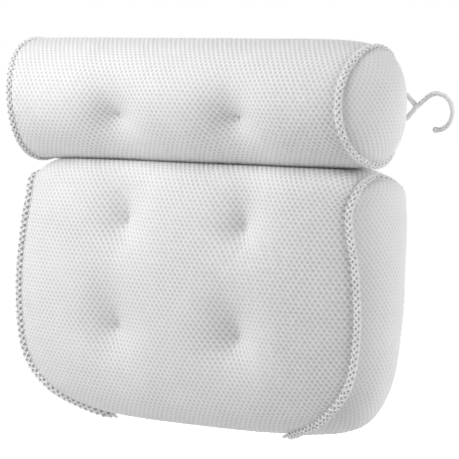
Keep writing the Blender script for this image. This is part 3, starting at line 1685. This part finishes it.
class Workbench:
    """Steps of modelling by hand that several pieces share."""

    @staticmethod
    def ring(name: str, radius: float, sides: int, place: Vector, turn: tuple[float, float, float]) -> Piece:
        """Starts a piece from a ring, in edit mode with the ring selected.

        Args:
            name: The piece's name.
            radius: The ring's radius.
            sides: How many sides the ring has.
            place: Its middle.
            turn: Its rotation about X, Y and Z.

        Returns:
            The piece.
        """
        bpy.ops.object.select_all(action="DESELECT")
        bpy.ops.mesh.primitive_circle_add(vertices=sides, radius=radius, location=place, rotation=turn)
        piece = bpy.context.object
        piece.name = piece.data.name = name
        bpy.ops.object.transform_apply(location=True, rotation=True, scale=True)
        bpy.ops.object.mode_set(mode="EDIT")
        bpy.ops.mesh.select_all(action="SELECT")
        return piece

    @staticmethod
    def extrude(move: Vector) -> None:
        """Draws the selected ring out."""
        bpy.ops.mesh.extrude_edges_move(TRANSFORM_OT_translate={"value": tuple(move)})

    @staticmethod
    def done(piece: Piece) -> Piece:
        """Merges doubles, turns the faces outwards, leaves edit mode and shades the piece.

        Args:
            piece: The piece in edit mode.

        Returns:
            The piece.
        """
        bpy.ops.mesh.select_all(action="SELECT")
        bpy.ops.mesh.remove_doubles(threshold=0.01 * MM)
        bpy.ops.mesh.normals_make_consistent(inside=False)
        bpy.ops.object.mode_set(mode="OBJECT")
        bpy.ops.object.shade_smooth_by_angle(angle=SMOOTH_BELOW)
        return piece

    @staticmethod
    def pick(piece: Piece) -> None:
        """Selects a piece alone and makes it the active one."""
        bpy.ops.object.select_all(action="DESELECT")
        piece.select_set(True)
        bpy.context.view_layer.objects.active = piece

    @staticmethod
    def apply(piece: Piece, kind: str, **settings: Any) -> Piece:
        """Adds a modifier to a piece and applies it.

        Args:
            piece: The piece.
            kind: The modifier's type.
            settings: Its settings.

        Returns:
            The piece.
        """
        modifier = piece.modifiers.new(kind.lower(), kind)
        for key, value in settings.items():
            setattr(modifier, key, value)
        Workbench.pick(piece)
        bpy.ops.object.modifier_apply(modifier=modifier.name)
        return piece

    @staticmethod
    def lathe(name: str, place: Vector, profile: Sequence[tuple[float, float]], sides: int) -> Piece:
        """Turns a profile about an axis along Y.

        Args:
            name: The piece's name.
            place: The axis' point at no depth.
            profile: Radius and depth of each ring; a radius of 0 closes an end.
            sides: How many sides the piece has.

        Returns:
            The piece.
        """
        rings = [ring for ring in profile if ring[0] > 0]
        radius, depth = rings[0]
        turn = (math.pi / 2, 0.0, 0.0)
        piece = Workbench.ring(name, radius, sides, place + Vector((0, depth, 0)), turn)
        if profile[0][0] == 0:
            Workbench.extrude(Vector((0, profile[0][1] - depth, 0)))
            bpy.ops.mesh.merge(type="CENTER")
            bpy.ops.mesh.select_non_manifold(extend=False)
        for next_radius, next_depth in rings[1:]:
            Workbench.extrude(Vector((0, next_depth - depth, 0)))
            scale = next_radius / radius
            centre = place + Vector((0, next_depth, 0))
            bpy.ops.transform.resize(value=(scale, 1.0, scale), center_override=centre)
            radius, depth = next_radius, next_depth
        if profile[-1][0] == 0:
            Workbench.extrude(Vector((0, profile[-1][1] - depth, 0)))
            bpy.ops.mesh.merge(type="CENTER")
        return Workbench.done(piece)


@dataclass
class SuctionMount:
    """A suction cup with the eyelet that it buttons into."""

    finishes: Finishes
    level: Level
    side: Side
    radius: float = 24 * MM
    lip: float = 2.6 * MM
    lip_thickness: float = 0.9 * MM
    dome: float = 6.5 * MM
    wall: float = 2.6 * MM
    collar: float = 7 * MM
    neck: float = 4 * MM
    head: float = 6.2 * MM
    head_height: float = 3.6 * MM
    head_band: float = 1.2 * MM
    gap: float = 0.3 * MM
    barrel: float = 1.4 * MM
    flange: float = 9.5 * MM
    flange_thickness: float = 1.2 * MM
    sides: int = 48
    dome_steps: int = 8

    def build(self) -> None:
        """Makes the cup and its eyelet."""
        name = f"{self.level.value}_{self.side.label}"
        eyelet_node, cup_node = f"cup_eyelet_{name}", f"suction_cup_{name}"
        low, high = (Vector(corner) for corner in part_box(eyelet_node))
        axis = Vector(((low.x + high.x) / 2, 0.0, (low.z + high.z) / 2))
        owner = Body.ROLL if self.level is Level.ROLL else Body.CUSHION
        eyelet = Workbench.lathe(f"eyelet_{name}", axis, self._eyelet(low.y, high.y), self.sides)
        rounding = {"width": 0.4 * MM, "segments": 3, "limit_method": "ANGLE"}
        Workbench.apply(eyelet, "BEVEL", **rounding)
        dress(eyelet, self.finishes.eyelet, Slot.EYELET, owner.value, eyelet_node)
        cup = Workbench.lathe(f"cup_{name}", axis, self._cup(low.y, high.y), self.sides)
        Workbench.apply(cup, "BEVEL", **rounding)
        dress(cup, self.finishes.vinyl, Slot.VINYL, cup_node.replace("suction_cup", "cup"), cup_node)

    def _eyelet(self, inner: float, outer: float) -> Profile:
        """The eyelet's profile, round and back to its start."""
        bore = self.neck + self.gap
        barrel = bore + self.barrel
        thick = self.flange_thickness
        return [
            (bore, inner),
            (self.flange, inner),
            (self.flange, inner + thick),
            (barrel, inner + thick),
            (barrel, outer - thick),
            (self.flange, outer - thick),
            (self.flange, outer),
            (bore, outer),
            (bore, inner),
        ]

    def _cup(self, inner: float, outer: float) -> Profile:
        """The cup's profile, from the hollow's middle round the lip to the head."""
        head = inner - self.gap
        collar = outer + self.gap
        hollow = self._arc(self.radius - self.lip, 0.0, 0.0, -self.dome)[::-1]
        dome = self._arc(self.radius, self.collar, -self.lip_thickness, -self.dome - self.wall)
        return [
            *hollow,
            (self.radius, 0.0),
            *dome,
            (self.collar, collar),
            (self.neck, collar),
            (self.neck, head),
            (self.head, head),
            (self.head, head - self.head_band),
            (self.neck, head - self.head_height),
            (0.0, head - self.head_height),
        ]

    def _arc(self, edge: float, pole: float, edge_depth: float, pole_depth: float) -> Profile:
        """A dome's profile from its edge to its pole."""
        leans = [math.pi / 2 * i / self.dome_steps for i in range(self.dome_steps + 1)]
        rings = [
            (pole + (edge - pole) * math.cos(lean), edge_depth + (pole_depth - edge_depth) * math.sin(lean))
            for lean in leans
        ]
        return [(radius if radius > 1e-6 else 0.0, depth) for radius, depth in rings]


class Rod:
    """A round rod that is drawn out and bent in a plane square to Y."""

    bend_step: float = math.radians(8)
    least_steps: int = 4

    def __init__(self, name: str, radius: float, sides: int, place: Vector, heading: float) -> None:
        """Starts the rod as a ring.

        Args:
            name: The rod's name.
            radius: Its radius.
            sides: How many sides it has.
            place: Where it starts.
            heading: Its direction, an angle from X towards Z.
        """
        self.place = place.copy()
        self.heading = heading
        self.piece = Workbench.ring(name, radius, sides, place, (0.0, math.pi / 2 - heading, 0.0))

    def forward(self, distance: float) -> None:
        """Draws the rod out."""
        move = Vector((math.cos(self.heading), 0.0, math.sin(self.heading))) * distance
        Workbench.extrude(move)
        self.place += move

    def turn(self, angle: float, radius: float) -> None:
        """Bends the rod to the right, from Z towards X.

        Args:
            angle: How far it turns.
            radius: The bend's radius.
        """
        right = Vector((math.sin(self.heading), 0.0, -math.cos(self.heading)))
        centre = self.place + right * radius
        steps = max(self.least_steps, round(angle / self.bend_step))
        bpy.ops.mesh.spin(steps=steps, angle=-angle, center=centre, axis=(0.0, 1.0, 0.0))
        self.heading -= angle
        right = Vector((math.sin(self.heading), 0.0, -math.cos(self.heading)))
        self.place = centre - right * radius

    def cap(self) -> None:
        """Closes the end that is selected."""
        bpy.ops.mesh.edge_face_add()

    def done(self) -> Piece:
        """Finishes the rod."""
        return Workbench.done(self.piece)


@dataclass
class Hanger:
    """The hanging hook: a bent rod on a three-cornered eye, held to the roll by a loop of tape."""

    finishes: Finishes
    rod: float = 2.1 * MM
    bar: float = 14.5 * MM
    base: float = 14 * MM
    corner: float = 3 * MM
    shank_angle: float = math.radians(37)
    shank: float = 13.7 * MM
    bend: float = 14.9 * MM
    end_angle: float = math.radians(-95)
    tip: float = 2.7 * MM
    sides: int = 24
    loop_width: float = 12 * MM
    loop_thickness: float = 1.1 * MM
    loop_radius: float = 3.1 * MM
    tab: float = 26 * MM
    layer: float = 1.2 * MM
    box_margin: float = 2.0 * MM
    box_share: float = 0.55
    stitching: Stitching = Stitching(length=2.0 * MM, gap=0.8 * MM)

    def build(self, roll: Piece) -> None:
        """Makes the hook and its loop.

        Args:
            roll: The roll's cover, that the loop is sewn to.
        """
        low, high = (Vector(corner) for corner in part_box("hook_loop"))
        bar = Vector((low.x + self.tab, 0.0, (low.z + high.z) / 2))
        bar.y = high.y - self.loop_radius - self.layer / 2
        self._hook(bar)
        self._loop(bar)

    def _hook(self, bar: Vector) -> Piece:
        """Bends the hook about its bar."""
        arm = math.hypot(self.base, self.bar)
        lean = math.atan2(self.bar, self.base)
        foot = math.pi / 2 - lean
        bar_cut = self.corner / math.tan(foot / 2)
        apex_cut = self.corner / math.tan(lean)
        eye = Rod("hook_eye", self.rod, self.sides, bar, math.pi / 2)
        eye.forward(self.bar - bar_cut)
        eye.turn(math.pi - foot, self.corner)
        eye.forward(arm - bar_cut - apex_cut)
        eye.turn(math.pi - 2 * lean, self.corner)
        eye.forward(arm - bar_cut - apex_cut)
        eye.turn(math.pi - foot, self.corner)
        eye.forward(self.bar - bar_cut)
        hook = eye.done()
        heading = Vector((math.cos(self.shank_angle), 0.0, math.sin(self.shank_angle)))
        apex = bar + Vector((self.base, 0.0, 0.0))
        shank = Rod("hook_shank", self.rod, self.sides, apex - heading * self.rod, self.shank_angle)
        shank.cap()
        shank.forward(self.shank + self.rod)
        shank.turn(math.pi / 2 + self.shank_angle - self.end_angle, self.bend)
        shank.cap()
        end = shank.place.copy()
        rod = shank.done()
        bpy.ops.object.select_all(action="DESELECT")
        bpy.ops.mesh.primitive_uv_sphere_add(
            segments=self.sides, ring_count=self.sides // 2, radius=self.tip, location=end
        )
        ball = bpy.context.object
        bpy.ops.object.transform_apply(location=True, rotation=True, scale=True)
        for part in (rod, ball):
            Workbench.apply(hook, "BOOLEAN", operation="UNION", object=part, solver="EXACT")
            bpy.data.objects.remove(part)
        Workbench.pick(hook)
        bpy.ops.object.shade_smooth_by_angle(angle=SMOOTH_BELOW)
        hook.name = hook.data.name = "hanging_hook"
        return dress(hook, self.finishes.hook, Slot.HOOK, Body.HOOK.value, "hook")

    def _loop(self, bar: Vector) -> Piece:
        """Folds the tape round the bar and sews it to the roll."""
        under = bar.y - self.loop_radius
        over = under + self.layer
        start = bar.x - self.tab
        bpy.ops.object.select_all(action="DESELECT")
        place = (start + self.tab / 4, under, bar.z)
        bpy.ops.mesh.primitive_plane_add(size=1.0, location=place, rotation=(math.pi / 2, 0, 0))
        loop = bpy.context.object
        loop.name = loop.data.name = "hook_tape"
        loop.scale = (self.tab / 2, self.loop_width, 1.0)
        bpy.ops.object.transform_apply(location=True, rotation=True, scale=True)
        bpy.ops.object.mode_set(mode="EDIT")
        bpy.ops.mesh.select_mode(type="EDGE")
        bpy.ops.mesh.select_all(action="DESELECT")
        bpy.ops.object.mode_set(mode="OBJECT")
        for edge in loop.data.edges:
            edge.select = all(loop.data.vertices[v].co.x > start + self.tab / 4 for v in edge.vertices)
        bpy.ops.object.mode_set(mode="EDIT")
        Workbench.extrude(Vector((bar.x - start - self.tab / 2, 0, 0)))
        bpy.ops.mesh.spin(steps=18, angle=-1.5 * math.pi, center=bar, axis=(0, 0, 1))
        drop = bar.y - over
        hollow = bar - Vector((self.loop_radius + drop, 0, 0))
        bpy.ops.mesh.spin(steps=6, angle=math.pi / 2, center=hollow, axis=(0, 0, 1))
        Workbench.extrude(Vector((start - (bar.x - self.loop_radius - drop), 0, 0)))
        Workbench.done(loop)
        Workbench.apply(loop, "SOLIDIFY", thickness=self.loop_thickness, offset=0.0)
        Workbench.apply(loop, "BEVEL", width=0.25 * MM, segments=2, limit_method="ANGLE")
        dress(loop, self.finishes.webbing, Slot.WEBBING, Body.ROLL.value, "hook_loop")
        self._stitch(start, over + self.loop_thickness / 2, bar)
        return loop

    def _stitch(self, start: float, y: float, bar: Vector) -> Piece:
        """Sews a box of stitches through the tape's tab."""
        margin = self.box_margin
        left, right = start + margin, start + self.box_share * self.tab
        low, high = bar.z - self.loop_width / 2 + margin, bar.z + self.loop_width / 2 - margin
        corners = [np.array([x, y, z]) for x, z in ((left, low), (right, low), (right, high), (left, high))]
        parts = []
        for first, last in ((0, 1), (1, 2), (2, 3), (3, 0), (0, 2), (1, 3)):
            parts += self.stitching.row(corners[first], corners[last], np.array([0.0, 1.0, 0.0]))
        return sewn_thread("hook_tape_stitches", parts, self.finishes, Body.ROLL)


# Studio


@dataclass(frozen=True)
class Lamp:
    """A square soft light."""

    name: str
    place: tuple[float, float, float]
    size: float
    power: float


@dataclass(frozen=True)
class Studio:
    """The photograph's camera, its soft light from the upper left and its white ground."""

    camera: tuple[float, float, float] = (1.41084, -1.90070, 0.25344)
    aim: tuple[float, float, float] = (0.01507, -0.04666, 0.05192)
    lens: float = 214.72
    sensor: float = 36.0
    floor: float = -0.335
    shadow: tuple[float, float, float, float] = (0.3, 1.0, 0.75, 1.0)
    ambient: float = 0.02
    lamps: tuple[Lamp, ...] = (
        Lamp("high_light", (-0.268, -0.557, 0.869), 0.7, 5.15),
        Lamp("low_light", (-0.461, -0.91, 0.26), 0.7, 4.35),
        Lamp("front_light", (-0.043, -0.897, 0.58), 0.7, 1.8),
        Lamp("side_light", (1.784, 0.016, 0.64), 0.9, 16.6),
        Lamp("rear_light", (1.4, 1.2, 0.2), 0.9, 6.0),
        Lamp("back_light", (-0.4, 1.55, 0.3), 0.9, 12.0),
        Lamp("left_light", (-1.75, 0.35, 0.35), 0.9, 9.0),
    )

    def set_up(self) -> None:
        """Places the camera, the lights and the ground."""
        scene = bpy.context.scene
        scene.view_settings.view_transform = "Standard"
        self._camera(scene)
        self._world(scene)
        self._floor()
        for lamp in self.lamps:
            self._light(scene, lamp)

    def _camera(self, scene: bpy.types.Scene) -> None:
        """Takes the photograph's place."""
        data = bpy.data.cameras.new("camera")
        data.lens = self.lens
        data.sensor_width = self.sensor
        camera = bpy.data.objects.new("camera", data)
        scene.collection.objects.link(camera)
        camera.location = self.camera
        camera.rotation_euler = self._facing(self.camera)
        scene.camera = camera

    def _facing(self, place: tuple[float, float, float]) -> Any:
        """The rotation that looks from a place at the pillow."""
        return (Vector(self.aim) - Vector(place)).to_track_quat("-Z", "Y").to_euler()

    def _world(self, scene: bpy.types.Scene) -> None:
        """White to the camera, and a soft even light to everything else."""
        scene.world = bpy.data.worlds.new("studio")
        scene.world.use_nodes = True
        tree = scene.world.node_tree
        tree.nodes.clear()
        soft = tree.nodes.new("ShaderNodeBackground")
        soft.inputs["Color"].default_value = grey(1.0)
        soft.inputs["Strength"].default_value = self.ambient
        seen = tree.nodes.new("ShaderNodeBackground")
        seen.inputs["Color"].default_value = grey(1.0)
        self._by_ray(tree, soft, seen, "ShaderNodeOutputWorld")

    def _by_ray(
        self, tree: bpy.types.NodeTree, other: bpy.types.Node, seen: bpy.types.Node, output: str
    ) -> None:
        """Shows one shader to the camera, in gloss and through glass, and another to every other ray."""
        path = tree.nodes.new("ShaderNodeLightPath")
        mix = tree.nodes.new("ShaderNodeMixShader")
        end = tree.nodes.new(output)
        shown = path.outputs["Is Camera Ray"]
        for kind in ("Is Glossy Ray", "Is Transmission Ray"):
            either = tree.nodes.new("ShaderNodeMath")
            either.operation = "MAXIMUM"
            tree.links.new(shown, either.inputs[0])
            tree.links.new(path.outputs[kind], either.inputs[1])
            shown = either.outputs[0]
        tree.links.new(shown, mix.inputs[0])
        tree.links.new(other.outputs[0], mix.inputs[1])
        tree.links.new(seen.outputs[0], mix.inputs[2])
        tree.links.new(mix.outputs[0], end.inputs["Surface"])

    def _floor(self) -> None:
        """A plain pale ground, out of the picture below the pillow."""
        bpy.ops.object.select_all(action="DESELECT")
        bpy.ops.mesh.primitive_plane_add(size=40.0, location=(0.0, 0.0, self.floor))
        floor = bpy.context.object
        floor.name = "floor"
        material = bpy.data.materials.new("ground")
        material.use_nodes = True
        tree = material.node_tree
        tree.nodes.clear()
        matt = tree.nodes.new("ShaderNodeBsdfDiffuse")
        matt.inputs["Color"].default_value = grey(0.8)
        white = tree.nodes.new("ShaderNodeEmission")
        place = tree.nodes.new("ShaderNodeTexCoord")
        away = tree.nodes.new("ShaderNodeVectorMath")
        away.operation = "LENGTH"
        fade = tree.nodes.new("ShaderNodeMapRange")
        for key, value in zip(("From Min", "From Max", "To Min", "To Max"), self.shadow):
            fade.inputs[key].default_value = value
        seen = tree.nodes.new("ShaderNodeAddShader")
        tree.links.new(place.outputs["Object"], away.inputs[0])
        tree.links.new(away.outputs["Value"], fade.inputs["Value"])
        tree.links.new(fade.outputs["Result"], white.inputs["Strength"])
        tree.links.new(white.outputs[0], seen.inputs[0])
        tree.links.new(matt.outputs[0], seen.inputs[1])
        self._by_ray(tree, matt, seen, "ShaderNodeOutputMaterial")
        floor.data.materials.append(material)

    def _light(self, scene: bpy.types.Scene, lamp: Lamp) -> None:
        """Adds a lamp, aimed at the pillow."""
        data = bpy.data.lights.new(lamp.name, "AREA")
        data.size = lamp.size
        data.energy = lamp.power
        light = bpy.data.objects.new(lamp.name, data)
        scene.collection.objects.link(light)
        light.location = lamp.place
        light.rotation_euler = self._facing(lamp.place)


def main() -> None:
    """Builds and dresses the pillow and sets up its photograph."""
    logging.basicConfig(level=logging.INFO, format="%(name)s: %(message)s", stream=sys.stdout, force=True)
    finishes = Finishes()
    form = RollForm()
    cushion = Cushion(finishes, CushionForm(form)).build()
    roll = Roll(finishes, form).build()
    HingeStrip(finishes, form).build([cushion, roll])
    for level in Level:
        for side in Side:
            SuctionMount(finishes, level, side).build()
    Hanger(finishes).build(roll)
    Studio().set_up()


if __name__ == "__main__":
    main()
